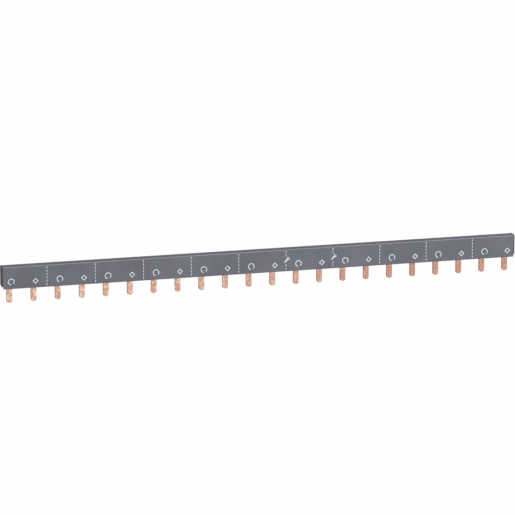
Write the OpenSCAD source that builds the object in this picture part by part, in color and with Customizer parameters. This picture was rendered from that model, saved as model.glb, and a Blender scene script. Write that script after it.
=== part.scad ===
// Comb busbar that feeds a row of devices one module wide each: two stamped
// copper combs in an extruded insulating housing, closed by two end caps.
// X runs along the row, Y from the front to the back, Z up.
// The origin is at the middle of the row, in the common plane of the teeth,
// level with the lower edges of the housing's walls.

/* [Row] */
// Number of modules, with one tooth for each
module_count = 22; // [4:2:56]
// Width of a module, from the middle of one tooth to the next
module_pitch = 18; // [12:0.5:27]
// From the housing's end to the middle of the nearest tooth
end_margin = 5.2; // [4.8:0.1:9]

/* [Teeth] */
// Width of a tooth
tooth_width = 4; // [2.5:0.1:4.2]
// How far the teeth reach below the housing
tooth_reach = 11.2; // [8:0.1:16]
// Radius of the corners at a tooth's tip
tip_radius = 1.6; // [0.3:0.05:1.7]
// Depth of the bevel on each face of the tip
tip_bevel = 0.35; // [0.1:0.05:0.6]
// Height of the bevel on each face of the tip
tip_bevel_height = 0.9; // [0.3:0.1:2]
// Radius of the inner corners where a tooth leaves its strip
root_radius = 0.6; // [0.2:0.1:0.8]

/* [Combs] */
// Thickness of the copper
copper_thickness = 2; // [1:0.1:3]
// Height of the strip that joins a comb's teeth
strip_height = 8; // [5:0.5:14]
// How far a strip runs on past the outermost tooth
strip_overhang = 0.8; // [0.3:0.1:1.2]
// Slope of the offset teeth between their two bends, from upright
joggle_angle = 45; // [35:5:70]
// Inner radius of the two bends
bend_radius = 0.6; // [0.3:0.1:1.2]

/* [Housing] */
// Thickness of the front and rear walls
outer_wall = 1.2; // [0.8:0.1:2.5]
// Thickness of the wall between the two combs
partition_wall = 1; // [0.6:0.1:2]
// Thickness of the top above the combs
roof = 1.5; // [1:0.1:4]
// How far the outer walls reach below the strips
skirt = 7; // [6.5:0.1:14]
// How far the wall between the combs reaches below the strips
partition_drop = 1.4; // [0.4:0.1:2]
// Radius of the outer edges along the top
top_radius = 0.8; // [0.2:0.1:1.2]
// Radius of the edges along the foot of each wall
foot_radius = 0.5; // [0.1:0.05:0.6]

/* [End caps] */
// Thickness of the plate over the housing's end
cap_plate = 0.8; // [0.6:0.1:3]
// How far the plate stands out past the housing's faces
cap_proud = 0.15; // [0.05:0.05:0.5]
// How far the plate stops above the foot of the walls
cap_lift = 1.7; // [0.5:0.1:4]
// Radius of the plate's lower corners
cap_corner = 0.5; // [0.2:0.1:1.5]

/* [Fits] */
// Gap on each side of a strip, which the ribs of the slot fill
slot_gap = 0.15; // [0.05:0.05:0.4]
// Height of the ribs that grip a strip
rib_height = 0.8; // [0.4:0.1:1.5]
// Gap between the offset teeth and the wall they pass below
joggle_gap = 0.3; // [0.1:0.05:0.6]
// Gap between a cap's tongues and the end of the copper
tongue_gap = 0.65; // [0.2:0.05:1]

/* [Hidden] */
$fn = 48;

// Along the row
first_tooth = -(module_count - 1) / 2 * module_pitch;
housing_length = (module_count - 1) * module_pitch + 2 * end_margin;
strip_setback = end_margin - tooth_width / 2 - strip_overhang;
strip_length = housing_length - 2 * strip_setback;
tongue_length = strip_setback - tongue_gap;

// Up the section, from the foot of the walls
strip_bottom = skirt;
strip_top = skirt + strip_height;
housing_height = strip_top + roof;
partition_bottom = strip_bottom - partition_drop;

// Through the section: the rear comb lies in the plane of the teeth
slot_width = copper_thickness + 2 * slot_gap;
plane_step = slot_width + partition_wall;
rear_plane = 0;
front_plane = rear_plane - plane_step;
rear_face = rear_plane + slot_width / 2 + outer_wall;
front_face = front_plane - slot_width / 2 - outer_wall;
housing_depth = rear_face - front_face;

// The two bends of an offset tooth, from the front plane to the rear one
bend_middle = bend_radius + copper_thickness / 2;
slant_length = (plane_step - 2 * bend_middle * (1 - cos(joggle_angle))) / sin(joggle_angle);
joggle_top = partition_bottom - joggle_gap;
joggle_bottom = joggle_top - 2 * bend_middle * sin(joggle_angle)
    - slant_length * cos(joggle_angle);

// Straight stretches that stand for each bend
bend_steps = 8;

copper = "#d9a68e";
grey_plastic = "#6f7177";
dark_plastic = "#595a5e";

// Lifts an outline drawn in Y and Z and draws it out along X
module along_row(length) {
    rotate([90, 0, 90])
        linear_extrude(length)
            children();
}

// Stands an outline drawn in X and Z upright, with its middle at a given Y
module upright(depth, y) {
    translate([0, y, 0])
        rotate([90, 0, 0])
            linear_extrude(depth, center = true)
                children();
}

// Rectangle from z = low to z = high with its upper corners rounded
module arched(left, right, low, high, radius) {
    translate([left, low])
        square([right - left, high - low - radius]);
    translate([left + radius, low])
        square([right - left - 2 * radius, high - low]);
    for (y = [left + radius, right - radius])
        translate([y, high - radius])
            circle(radius);
}

// Room for one strip, narrowed to the copper's thickness at its two ribs
module slot_outline(plane) {
    difference() {
        translate([plane - slot_width / 2, partition_bottom])
            square([slot_width, strip_top - partition_bottom]);
        for (side = [-1, 1], share = [1, 3])
            translate([plane + side * (copper_thickness + slot_gap) / 2,
                       strip_bottom + share * strip_height / 4])
                square([slot_gap, rib_height], center = true);
    }
}

// Rounds the foot of a wall: what lies outside two quarter circles
module foot_rounding(left, right) {
    radius = min(foot_radius, (right - left) / 2);
    difference() {
        translate([left, 0])
            square([right - left, radius]);
        translate([left + radius, 0])
            square([right - left - 2 * radius, radius]);
        for (y = [left + radius, right - radius])
            translate([y, radius])
                circle(radius);
    }
}

module housing_outline() {
    difference() {
        arched(front_face, rear_face, 0, housing_height, top_radius);
        slot_outline(front_plane);
        slot_outline(rear_plane);
        translate([front_face + outer_wall, 0])
            square([housing_depth - 2 * outer_wall, partition_bottom]);
        foot_rounding(front_face, front_face + outer_wall);
        foot_rounding(rear_face - outer_wall, rear_face);
    }
}

module housing() {
    color(grey_plastic)
        translate([-housing_length / 2, 0, 0])
            along_row(housing_length)
                housing_outline();
}

// Front view of one tooth and the corners that lead into its strip
module tooth_outline() {
    half = tooth_width / 2;
    radius = min(tip_radius, half);
    fillet = min(root_radius, strip_overhang);
    translate([-half, radius - tooth_reach])
        square([tooth_width, strip_top - radius + tooth_reach]);
    translate([radius - half, -tooth_reach])
        square([tooth_width - 2 * radius, tooth_reach]);
    for (side = [-1, 1]) {
        translate([side * (half - radius), radius - tooth_reach])
            circle(radius);
        difference() {
            translate([side * (half + fillet / 2), strip_bottom - fillet / 2])
                square(fillet, center = true);
            translate([side * (half + fillet), strip_bottom - fillet])
                circle(fillet);
        }
    }
}

// Front view of the strip, cut to length
module strip_outline() {
    translate([-strip_length / 2, strip_bottom])
        square([strip_length, strip_height]);
}

// Points along an arc, in the order in which it is drawn
function arc(middle, radius, from, to) =
    [for (step = [0 : bend_steps])
        let (angle = from + (to - from) * step / bend_steps)
            middle + radius * [cos(angle), sin(angle)]];

// The bevelled tip of a tooth in side view, from its front to its back
function tip_points() =
    let (half = copper_thickness / 2, flat = half - min(tip_bevel, 0.8 * half))
        [[-half, tip_bevel_height - tooth_reach], [-flat, -tooth_reach],
         [flat, -tooth_reach], [half, tip_bevel_height - tooth_reach]];

// Side view of a straight tooth
module straight_side() {
    half = copper_thickness / 2;
    polygon(concat([[-half, strip_top]], tip_points(), [[half, strip_top]]));
}

// Side view of an offset tooth: down from the front plane, back on a slant
// below the partition, and down again in the plane of the rear comb
module offset_side() {
    half = copper_thickness / 2;
    outer_radius = bend_radius + copper_thickness;
    upper = [front_plane + half + bend_radius, joggle_top];
    lower = [rear_plane - half - bend_radius, joggle_bottom];
    polygon(concat(
        [[front_plane - half, strip_top]],
        arc(upper, outer_radius, 180, 180 + joggle_angle),
        arc(lower, bend_radius, joggle_angle, 0),
        tip_points(),
        arc(lower, outer_radius, 0, joggle_angle),
        arc(upper, bend_radius, 180 + joggle_angle, 180),
        [[front_plane + half, strip_top]]));
}

// Every second tooth of the row, counted from the one with the given number
module teeth(start) {
    for (number = [start : 2 : module_count - 1])
        translate([first_tooth + number * module_pitch, 0, 0])
            intersection() {
                upright(4 * housing_depth, 0)
                    tooth_outline();
                translate([-module_pitch / 2, 0, 0])
                    along_row(module_pitch)
                        children();
            }
}

// Front comb, whose teeth step back into the plane of the rear one's
module ring_phase_comb() {
    color(copper) {
        upright(copper_thickness, front_plane)
            strip_outline();
        teeth(0)
            offset_side();
    }
}

// Rear comb, with straight teeth
module diamond_phase_comb() {
    color(copper) {
        upright(copper_thickness, rear_plane)
            strip_outline();
        teeth(1)
            straight_side();
    }
}

// Cap for the right-hand end: a plate with a tongue for each slot
module end_cap() {
    left = front_face - cap_proud;
    right = rear_face + cap_proud;
    top = housing_height + cap_proud;
    translate([housing_length / 2, 0, 0])
        along_row(cap_plate)
            difference() {
                arched(left, right, cap_lift, top, top_radius + cap_proud);
                for (side = [0, 1])
                    translate([side * (left + right), 0])
                        mirror([side, 0])
                            difference() {
                                translate([left, cap_lift])
                                    square(cap_corner);
                                translate([left + cap_corner, cap_lift + cap_corner])
                                    circle(cap_corner);
                            }
            }
    for (plane = [front_plane, rear_plane])
        translate([housing_length / 2 - tongue_length, plane - copper_thickness / 2, 0])
            along_row(tongue_length)
                translate([0, strip_bottom])
                    square([copper_thickness, strip_height - slot_gap]);
}

module right_end_cap() {
    color(dark_plastic)
        end_cap();
}

module left_end_cap() {
    color(dark_plastic)
        mirror([1, 0, 0])
            end_cap();
}

housing();
ring_phase_comb();
diamond_phase_comb();
left_end_cap();
right_end_cap();
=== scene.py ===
import bmesh
import bpy
from math import cos, pi, radians, sin
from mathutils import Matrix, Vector


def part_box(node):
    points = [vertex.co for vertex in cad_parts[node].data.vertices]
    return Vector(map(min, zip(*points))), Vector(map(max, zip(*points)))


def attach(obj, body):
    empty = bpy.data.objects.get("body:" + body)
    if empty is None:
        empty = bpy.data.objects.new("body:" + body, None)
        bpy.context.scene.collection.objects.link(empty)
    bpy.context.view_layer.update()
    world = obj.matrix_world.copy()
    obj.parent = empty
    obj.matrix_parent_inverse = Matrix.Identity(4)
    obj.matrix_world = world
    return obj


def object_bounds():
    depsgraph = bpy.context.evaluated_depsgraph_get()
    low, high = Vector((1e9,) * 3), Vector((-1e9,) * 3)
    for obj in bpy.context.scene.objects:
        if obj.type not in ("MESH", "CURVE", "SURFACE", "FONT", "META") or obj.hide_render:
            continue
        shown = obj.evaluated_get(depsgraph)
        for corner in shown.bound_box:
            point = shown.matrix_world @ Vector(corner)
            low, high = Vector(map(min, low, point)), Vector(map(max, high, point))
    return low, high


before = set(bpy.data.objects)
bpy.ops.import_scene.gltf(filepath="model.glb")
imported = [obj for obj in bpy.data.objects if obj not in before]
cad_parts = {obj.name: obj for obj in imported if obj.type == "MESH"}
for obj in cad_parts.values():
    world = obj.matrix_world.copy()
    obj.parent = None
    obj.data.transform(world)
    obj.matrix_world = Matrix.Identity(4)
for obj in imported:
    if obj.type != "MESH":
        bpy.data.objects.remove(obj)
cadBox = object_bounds()
print("frame loaded:", ", ".join(sorted(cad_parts)))

mm = 0.001  # the scene is in metres, sizes below are in millimetres
scene = bpy.context.scene
scene.view_settings.view_transform = "Standard"


def toLinear(hexColour):
    channels = [int(hexColour[i:i + 2], 16) / 255 for i in (1, 3, 5)]
    return [c / 12.92 if c < 0.04045 else ((c + 0.055) / 1.055) ** 2.4 for c in channels] + [1.0]


def addNode(tree, kind, settings=None, links=None):
    node = tree.nodes.new(kind)
    for name, value in (settings or {}).items():
        if isinstance(name, str) and hasattr(node, name):
            setattr(node, name, value)
        else:
            node.inputs[name].default_value = value
    for name, source in (links or {}).items():
        tree.links.new(source, node.inputs[name])
    return node


def newMaterial(name):
    material = bpy.data.materials.new(name)
    material.use_nodes = True
    material.node_tree.nodes.clear()
    return material, material.node_tree


# even noise that swings about once in each given length along X, Y and Z
def grainNoise(tree, place, lengths, detail=2.0):
    scaled = addNode(tree, "ShaderNodeMapping", {"Scale": [1 / (length * mm) for length in lengths]},
                     {"Vector": place})
    return addNode(tree, "ShaderNodeTexNoise", {"Scale": 1.0, "Detail": detail, "Roughness": 0.55},
                   {"Vector": scaled.outputs["Vector"]}).outputs["Fac"]


# 0 to 1 as the value goes from low to high
def fade(tree, value, low, high, start=0.0, end=1.0):
    return addNode(tree, "ShaderNodeMapRange",
                   {"interpolation_type": "SMOOTHSTEP", "From Min": low, "From Max": high,
                    "To Min": start, "To Max": end}, {"Value": value}).outputs["Result"]


def tint(tree, amount, under, over):
    links = {0: amount}
    settings = {"data_type": "RGBA"}
    for socket, colour in ((6, under), (7, over)):
        if isinstance(colour, str):
            settings[socket] = toLinear(colour)
        else:
            links[socket] = colour
    return addNode(tree, "ShaderNodeMix", settings, links).outputs[2]


def multiply(tree, first, second):
    links = {0: first}
    settings = {"operation": "MULTIPLY"}
    if isinstance(second, float):
        settings[1] = second
    else:
        links[1] = second
    return addNode(tree, "ShaderNodeMath", settings, links).outputs[0]


def normalAxes(tree):
    normal = addNode(tree, "ShaderNodeNewGeometry").outputs["Normal"]
    return addNode(tree, "ShaderNodeSeparateXYZ", links={"Vector": normal}).outputs


# 1 on a face that looks along the bar, 0 on one that looks across it
def endwise(tree):
    return addNode(tree, "ShaderNodeMath", {"operation": "ABSOLUTE"},
                   {0: normalAxes(tree)["X"]}).outputs[0]


def larger(tree, first, second):
    return addNode(tree, "ShaderNodeMath", {"operation": "MAXIMUM"}, {0: first, 1: second}).outputs[0]


# The housing: an extruded rigid plastic, slate grey and matt. The die drags
# fine lines along the bar, which break up its sheen lengthwise.
housingFinish = {
    "grey": "#6d6e76",
    "paleGrey": "#73747c",
    "paintedEdgeHighlight": "#9a9ba4",  # painted highlight: a pale line along the front top edge
    "paintedEdgeShade": "#54555b",  # painted shade along the front foot and the rear top edge
    "paintedHighlightRange": (-0.3, -0.46),  # how far an edge has turned where each tint starts and is full
    "paintedShadeRange": (0.12, 0.42),
    "roughness": 0.65,
    "roughnessSwing": 0.06,  # up and down over the die lines
    "specular": 0.06,
    "cloudLength": 22,  # mm, slow drift of the pigment
    "dieLineLength": 55,  # mm along the bar
    "dieLineSpacing": 0.45,  # mm, real lines are under 0.1 mm: drawn coarser to show
    "dieLineDepth": 0.006,  # mm
}


def extrudedPlastic(finish):
    material, tree = newMaterial("extruded_rigid_plastic")
    place = addNode(tree, "ShaderNodeTexCoord").outputs["Object"]
    cloud = grainNoise(tree, place, [finish["cloudLength"]] * 3, 3.0)
    spacing = finish["dieLineSpacing"]
    dieLines = grainNoise(tree, place, [finish["dieLineLength"], spacing, spacing])
    body = tint(tree, fade(tree, cloud, 0.35, 0.65), finish["grey"], finish["paleGrey"])

    # the product of the normal's Y and Z is far from zero only on rounded edges:
    # below zero on the front top edge, where a painted highlight goes, above it on the rear top edge
    # and the front foot, where painted shade goes
    axes = normalAxes(tree)
    turn = multiply(tree, axes["Y"], axes["Z"])
    paintedHighlight = fade(tree, turn, *finish["paintedHighlightRange"])
    paintedShade = fade(tree, turn, *finish["paintedShadeRange"])
    body = tint(tree, paintedShade, tint(tree, paintedHighlight, body, finish["paintedEdgeHighlight"]), finish["paintedEdgeShade"])

    rough, swing = finish["roughness"], finish["roughnessSwing"]
    bump = addNode(tree, "ShaderNodeBump",
                   {"Strength": 1.0, "Distance": finish["dieLineDepth"] * mm}, {"Height": dieLines})
    shader = addNode(tree, "ShaderNodeBsdfPrincipled",
                     {"IOR": 1.5, "Specular IOR Level": finish["specular"]},
                     {"Base Color": body, "Normal": bump.outputs["Normal"],
                      "Roughness": fade(tree, dieLines, 0.3, 0.7, rough - swing, rough + swing)})
    addNode(tree, "ShaderNodeOutputMaterial", links={"Surface": shader.outputs["BSDF"]})
    return material


# The end caps: moulded polyamide with a fine grain. The rim is close to the
# housing's grey; the outer face is matt and painted darker as painted shade.
capFinish = {
    "rimGrey": "#6a6b72",
    "shadedFaceGrey": "#4e4f53",
    "shadedFaceDarkGrey": "#46474b",
    "shadedFaceRange": (0.4, 0.8),  # from the rim's grey to the outer face's painted shade, as the surface turns outwards
    "roughness": 0.75,
    "specular": 0.15,
    "grain": 0.28,  # mm, a real grain is about 0.1 mm: drawn coarser to show
    "grainDepth": 0.012,  # mm
}


def mouldedPolyamide(finish):
    material, tree = newMaterial("moulded_polyamide")
    place = addNode(tree, "ShaderNodeTexCoord").outputs["Object"]
    grain = grainNoise(tree, place, [finish["grain"]] * 3)
    # painted shade: the outer face's darker greys, mottled by the grain
    face = tint(tree, fade(tree, grain, 0.35, 0.65), finish["shadedFaceDarkGrey"], finish["shadedFaceGrey"])
    body = tint(tree, fade(tree, endwise(tree), *finish["shadedFaceRange"]), finish["rimGrey"], face)
    bump = addNode(tree, "ShaderNodeBump",
                   {"Strength": 1.0, "Distance": finish["grainDepth"] * mm}, {"Height": grain})
    shader = addNode(tree, "ShaderNodeBsdfPrincipled",
                     {"Roughness": finish["roughness"], "IOR": 1.53,
                      "Specular IOR Level": finish["specular"]},
                     {"Base Color": body, "Normal": bump.outputs["Normal"]})
    addNode(tree, "ShaderNodeOutputMaterial", links={"Surface": shader.outputs["BSDF"]})
    return material


# The combs: stamped from cold-rolled copper strip and left bare. The rolled
# faces are salmon pink with paler and browner patches where a thin oxide has
# started, and the sheared edges are matt and brown, painted darker as painted shade.
copperFinish = {
    "pink": "#d5a38c",
    "palePink": "#f4d6c4",
    "tan": "#cfa588",
    "brown": "#b9866d",
    "rightwardBrown": "#c48d77",
    # the sheared edges' own brown, painted darker as painted shade
    "shearedEdgeAndShade": "#7d6154",
    "roughness": 0.38,
    "shearedRoughness": 0.55,
    "patch": 1.9,  # mm, oxide patches
    "paleRange": (0.47, 0.6),  # of the patches' noise, where each tint starts and is full
    "tanRange": (0.46, 0.36),
    "fleck": 0.8,  # mm, small brown spots
    "fleckRange": (0.54, 0.7),
    "fleckCover": 0.8,
    "rightwardBrownFrom": 5,  # mm right of the middle, where the strip starts to turn browner
    "rightwardBrownTo": 70,  # mm, as brown as it gets
    "rightwardBrownCover": 0.65,
    "shearedAndShadedRange": (0.3, 0.7),  # from a rolled face to a sheared edge with its painted shade
    "rollLineLength": 9,  # mm along the strip
    "rollLineSpacing": 0.3,  # mm, real roll marks are about 0.02 mm: drawn coarser to show
    "rollLineDepth": 0.004,  # mm
}


def rolledCopper(finish):
    material, tree = newMaterial("rolled_bare_copper")
    place = addNode(tree, "ShaderNodeTexCoord").outputs["Object"]
    patches = grainNoise(tree, place, [finish["patch"]] * 3, 3.0)
    flecks = grainNoise(tree, place, [finish["fleck"]] * 3)
    spacing = finish["rollLineSpacing"]
    rollLines = grainNoise(tree, place, [finish["rollLineLength"], spacing, spacing])

    face = tint(tree, fade(tree, patches, *finish["paleRange"]), finish["pink"], finish["palePink"])
    face = tint(tree, fade(tree, patches, *finish["tanRange"]), face, finish["tan"])
    spots = fade(tree, flecks, *finish["fleckRange"], 0.0, finish["fleckCover"])
    face = tint(tree, spots, face, finish["brown"])
    # browner towards the right end of the bar
    along = addNode(tree, "ShaderNodeSeparateXYZ", links={"Vector": place}).outputs["X"]
    rightwardBrownAmount = fade(tree, along, finish["rightwardBrownFrom"] * mm, finish["rightwardBrownTo"] * mm,
                   0.0, finish["rightwardBrownCover"])
    face = tint(tree, rightwardBrownAmount, face, finish["rightwardBrown"])
    # edges that look along the bar: their own matt brown, painted darker as painted shade
    shearedAndShaded = fade(tree, endwise(tree), *finish["shearedAndShadedRange"])
    colour = tint(tree, shearedAndShaded, face, finish["shearedEdgeAndShade"])

    bump = addNode(tree, "ShaderNodeBump",
                   {"Strength": 1.0, "Distance": finish["rollLineDepth"] * mm}, {"Height": rollLines})
    shader = addNode(tree, "ShaderNodeBsdfPrincipled", {"Metallic": 1.0},
                     {"Base Color": colour, "Normal": bump.outputs["Normal"],
                      "Roughness": fade(tree, shearedAndShaded, 0.0, 1.0, finish["roughness"],
                                        finish["shearedRoughness"])})
    addNode(tree, "ShaderNodeOutputMaterial", links={"Surface": shader.outputs["BSDF"]})
    return material


# The print: pale grey pad-printing ink, a matt film that covers a little unevenly.
inkFinish = {
    "grey": "#eaebf4",
    "thinGrey": "#d2d3dd",
    "coverRange": (0.38, 0.6),
    "roughness": 0.6,
    "specular": 0.3,
    "patch": 0.8,  # mm
}


def padPrintInk(finish):
    material, tree = newMaterial("pad_print_ink")
    place = addNode(tree, "ShaderNodeTexCoord").outputs["Object"]
    cover = grainNoise(tree, place, [finish["patch"]] * 3)
    body = tint(tree, fade(tree, cover, *finish["coverRange"]), finish["thinGrey"], finish["grey"])
    shader = addNode(tree, "ShaderNodeBsdfPrincipled",
                     {"Roughness": finish["roughness"], "IOR": 1.5,
                      "Specular IOR Level": finish["specular"]},
                     {"Base Color": body})
    addNode(tree, "ShaderNodeOutputMaterial", links={"Surface": shader.outputs["BSDF"]})
    return material


copper = rolledCopper(copperFinish)
capPlastic = mouldedPolyamide(capFinish)
finishes = {
    "housing": extrudedPlastic(housingFinish),
    "ring_phase_comb": copper,
    "diamond_phase_comb": copper,
    "left_end_cap": capPlastic,
    "right_end_cap": capPlastic,
}
for nodeName, finish in finishes.items():
    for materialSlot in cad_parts[nodeName].material_slots:
        materialSlot.material = finish
print("materials on the packed pieces: done")


# The print on the front face, set out from the housing's own box.
printLayout = {
    "moduleCount": 22,
    "modulePitch": 18,  # mm
    "inkThickness": 0.03,  # mm
    "inkSink": 0.01,  # mm below the face, so that no gap shows
    "shift": 0.5,  # mm, marks sit this far right of their tooth
}
housingLow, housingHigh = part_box("housing")
rowMiddle = (housingLow.x + housingHigh.x) / 2 / mm
footHeight = housingLow.z / mm
frontFace = housingLow.y / mm
ink = padPrintInk(inkFinish)


# X of the middle of a tooth, counted from 0 at the left, or of a place between two
def toothPlace(number):
    return rowMiddle + (number - (printLayout["moduleCount"] - 1) / 2) * printLayout["modulePitch"]


# one closed film of ink between two lines of (x, z) points, joined up where it is a loop
def addBand(film, outer, inner, loop=False):
    front = frontFace - printLayout["inkThickness"]
    back = frontFace + printLayout["inkSink"]
    rows = [[film.verts.new(Vector((x, y, z)) * mm) for x, z in line]
            for line, y in ((outer, front), (inner, front), (inner, back), (outer, back))]
    count = len(outer)
    for i in range(count if loop else count - 1):
        j = (i + 1) % count
        for k in range(4):
            film.faces.new((rows[k][i], rows[k][j], rows[(k + 1) % 4][j], rows[(k + 1) % 4][i]))
    if not loop:
        film.faces.new([row[0] for row in rows])
        film.faces.new([row[-1] for row in rows])


def finishFilm(film, name):
    bmesh.ops.recalc_face_normals(film, faces=film.faces)
    mesh = bpy.data.meshes.new(name)
    film.to_mesh(mesh)
    film.free()
    mesh.materials.append(ink)
    piece = bpy.data.objects.new(name, mesh)
    scene.collection.objects.link(piece)
    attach(piece, "root")
    print(name + ":", len(mesh.polygons), "faces")


# Ring with a gap below, over every tooth of the ring comb
ringMark = {
    "outerRadius": 2.45,  # mm
    "stroke": 0.6,  # mm
    "height": 5.4,  # mm from the foot to the middle
    "gapFrom": 264,  # degrees, from the right and upwards
    "gapTo": 313,
    "steps": 40,
}


def ringMarks(mark):
    film = bmesh.new()
    start = radians(mark["gapTo"] - 360)
    turn = radians(mark["gapFrom"]) - start
    angles = [start + turn * step / mark["steps"] for step in range(mark["steps"] + 1)]
    for number in range(0, printLayout["moduleCount"], 2):
        x = toothPlace(number) + printLayout["shift"]
        z = footHeight + mark["height"]
        lines = [[(x + radius * cos(angle), z + radius * sin(angle)) for angle in angles]
                 for radius in (mark["outerRadius"], mark["outerRadius"] - mark["stroke"])]
        addBand(film, *lines)
    finishFilm(film, "ring_marks")


# Square on its corner, over every tooth of the diamond comb
diamondMark = {
    "halfWidth": 2.2,  # mm from the middle to a corner
    "stroke": 0.58,  # mm
    "height": 5.1,  # mm from the foot to the middle
}


def diamondMarks(mark):
    film = bmesh.new()
    for number in range(1, printLayout["moduleCount"], 2):
        x = toothPlace(number) + printLayout["shift"]
        z = footHeight + mark["height"]
        corners = [(1, 0), (0, 1), (-1, 0), (0, -1)]
        lines = [[(x + reach * a, z + reach * b) for a, b in corners]
                 for reach in (mark["halfWidth"], mark["halfWidth"] - mark["stroke"] * 2 ** 0.5)]
        addBand(film, *lines, loop=True)
    finishFilm(film, "diamond_marks")


# Hand saw drawn at a slant across a cut line, with its handle at the upper right
sawSymbol = {
    "afterModules": (12, 14),
    "height": 8.4,  # mm from the foot to the middle
    "slant": 45,  # degrees
    "bladeLength": 3.2,  # mm
    "bladeTip": 0.35,  # mm, half its width there
    "bladeHeel": 0.75,  # mm
    "toothCount": 5,
    "toothDepth": 0.28,  # mm
    "handleLength": 1.9,  # mm
    "handleWidth": 2.3,  # mm
    "handleStroke": 0.55,  # mm
    "steps": 24,
}

# Dashed line where the bar may be cut, after every second module
cutLine = {
    "top": 15.4,  # mm above the foot
    "dash": 1.5,  # mm
    "period": 2.5,  # mm
    "count": 6,
    "width": 0.45,  # mm
}


def cutLines(line):
    film = bmesh.new()
    for module in range(2, printLayout["moduleCount"], 2):
        x = toothPlace(module - 0.5)
        for step in range(line["count"]):
            top = line["top"] - step * line["period"]
            bottom = top - line["dash"]
            fromSaw = abs((top + bottom) / 2 - sawSymbol["height"])
            if module in sawSymbol["afterModules"] and fromSaw < line["period"]:
                continue  # the saw stands here
            sides = [[(x + side * line["width"] / 2, footHeight + z) for z in (bottom, top)]
                     for side in (-1, 1)]
            addBand(film, *sides)
    finishFilm(film, "cut_lines")


def sawSymbols(saw):
    film = bmesh.new()
    slant = radians(saw["slant"])
    length = saw["bladeLength"] + saw["handleLength"]
    for module in saw["afterModules"]:
        x = toothPlace(module - 0.5) + printLayout["shift"]
        z = footHeight + saw["height"]

        # from along and across the saw to X and Z
        def onFace(along, across):
            along -= length / 2
            return (x + along * cos(slant) - across * sin(slant),
                    z + along * sin(slant) + across * cos(slant))

        back, edge = [], []
        for step in range(2 * saw["toothCount"] + 1):
            share = step / (2 * saw["toothCount"])
            half = saw["bladeTip"] + (saw["bladeHeel"] - saw["bladeTip"]) * share
            back.append(onFace(share * saw["bladeLength"], half))
            edge.append(onFace(share * saw["bladeLength"], -half + saw["toothDepth"] * (step % 2)))
        addBand(film, back, edge)

        grip = saw["bladeLength"] + saw["handleLength"] / 2
        lines = []
        for inset in (0, saw["handleStroke"]):
            halfLong = saw["handleLength"] / 2 - inset
            halfWide = saw["handleWidth"] / 2 - inset
            angles = [2 * pi * step / saw["steps"] for step in range(saw["steps"])]
            lines.append([onFace(grip + halfLong * cos(a), halfWide * sin(a)) for a in angles])
        addBand(film, *lines, loop=True)
    finishFilm(film, "saw_symbols")


ringMarks(ringMark)
diamondMarks(diamondMark)
cutLines(cutLine)
sawSymbols(sawSymbol)


# The studio: a white sweep below the bar, a large soft key lamp, a weaker one
# behind and an even white surround.
studio = {
    "floorDrop": 120,  # mm below the teeth
    "floorRadius": 20000,  # mm
    "floorSegments": 96,
    "floorPaper": "#b4b4b4",
    "floorGlow": 0.99,  # how much of the floor the camera sees as plain white
    "surround": 0.24,  # its strength as a light, seen as plain white
    "lampSize": 1.6,  # m
    "lamps": {  # place in metres and watts
        "key_panel": ((1.1, -2.5, 1.2), 81),
        "rear_panel": ((-0.3, 2.4, 0.3), 42),
    },
}


def sweepMaterial(spec):
    material, tree = newMaterial("white_paper_sweep")
    rays = addNode(tree, "ShaderNodeLightPath").outputs
    seen = larger(tree, rays["Is Camera Ray"], rays["Is Glossy Ray"])
    paper = addNode(tree, "ShaderNodeBsdfDiffuse", {"Color": toLinear(spec["floorPaper"])})
    glow = addNode(tree, "ShaderNodeEmission", {"Color": (1, 1, 1, 1), "Strength": 1.0})
    mix = addNode(tree, "ShaderNodeMixShader",
                  links={0: multiply(tree, seen, spec["floorGlow"]),
                         1: paper.outputs[0], 2: glow.outputs[0]})
    addNode(tree, "ShaderNodeOutputMaterial", links={"Surface": mix.outputs[0]})
    return material


def addSweep(spec):
    disc = bmesh.new()
    bmesh.ops.create_circle(disc, cap_ends=True, segments=spec["floorSegments"],
                             radius=spec["floorRadius"] * mm)
    mesh = bpy.data.meshes.new("sweep")
    disc.to_mesh(mesh)
    disc.free()
    mesh.materials.append(sweepMaterial(spec))
    sweep = bpy.data.objects.new("sweep", mesh)
    sweep.location.z = cadBox[0].z - spec["floorDrop"] * mm
    scene.collection.objects.link(sweep)


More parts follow.
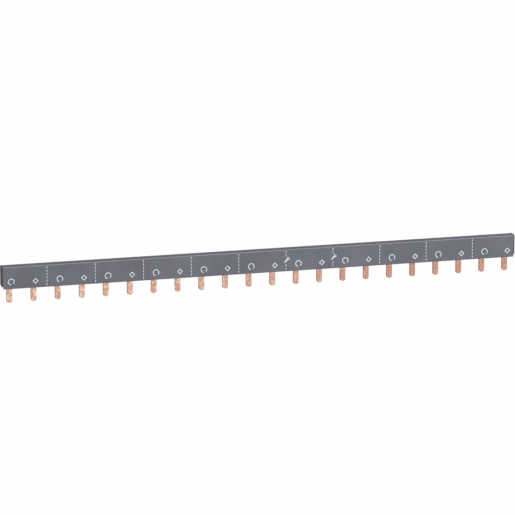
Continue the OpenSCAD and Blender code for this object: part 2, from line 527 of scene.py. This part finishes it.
def lightTheSurround(spec):
    world = bpy.data.worlds.new("white_surround")
    world.use_nodes = True
    scene.world = world
    tree = world.node_tree
    tree.nodes.clear()
    rays = addNode(tree, "ShaderNodeLightPath").outputs
    seen = larger(tree, rays["Is Camera Ray"], rays["Is Glossy Ray"])
    seen = larger(tree, seen, rays["Is Transmission Ray"])
    strength = fade(tree, seen, 0.0, 1.0, spec["surround"], 1.0)
    background = addNode(tree, "ShaderNodeBackground", {"Color": (1, 1, 1, 1)}, {"Strength": strength})
    addNode(tree, "ShaderNodeOutputWorld", links={"Surface": background.outputs[0]})


# square panels aimed at the bar, kept out of its reflections so that its metal
# mirrors plain white
def addLamps(spec):
    for name, (place, watts) in spec["lamps"].items():
        lamp = bpy.data.lights.new(name, "AREA")
        lamp.shape = "SQUARE"
        lamp.size = spec["lampSize"]
        lamp.energy = watts
        panel = bpy.data.objects.new(name, lamp)
        panel.location = place
        panel.rotation_mode = "QUATERNION"
        panel.rotation_quaternion = (-panel.location).to_track_quat("-Z", "Y")
        panel.visible_camera = False
        panel.visible_glossy = False
        scene.collection.objects.link(panel)


addSweep(studio)
lightTheSurround(studio)
addLamps(studio)
print("studio: done")


# The camera stands well back to the left of the bar, a little above it
cameraStand = {
    "azimuth": -15.31,  # degrees, from straight in front of the bar
    "elevation": 13.48,
    "distance": 3.199,  # m
    "lens": 303.96,  # mm
    "sensor": 36,  # mm
    "aim": (-2.22, 0, 10.5),  # mm
    "clip": (0.1, 60),  # m
}


def addCamera(stand):
    azimuth, elevation = radians(stand["azimuth"]), radians(stand["elevation"])
    back = Vector((sin(azimuth) * cos(elevation), -cos(azimuth) * cos(elevation), sin(elevation)))
    camera = bpy.data.objects.new("camera", bpy.data.cameras.new("camera"))
    camera.data.sensor_width = stand["sensor"]
    camera.data.lens = stand["lens"]
    camera.data.clip_start, camera.data.clip_end = stand["clip"]
    camera.location = Vector(stand["aim"]) * mm + back * stand["distance"]
    camera.rotation_mode = "QUATERNION"
    camera.rotation_quaternion = (-back).to_track_quat("-Z", "Y")
    scene.collection.objects.link(camera)
    scene.camera = camera


addCamera(cameraStand)
print("camera: done")
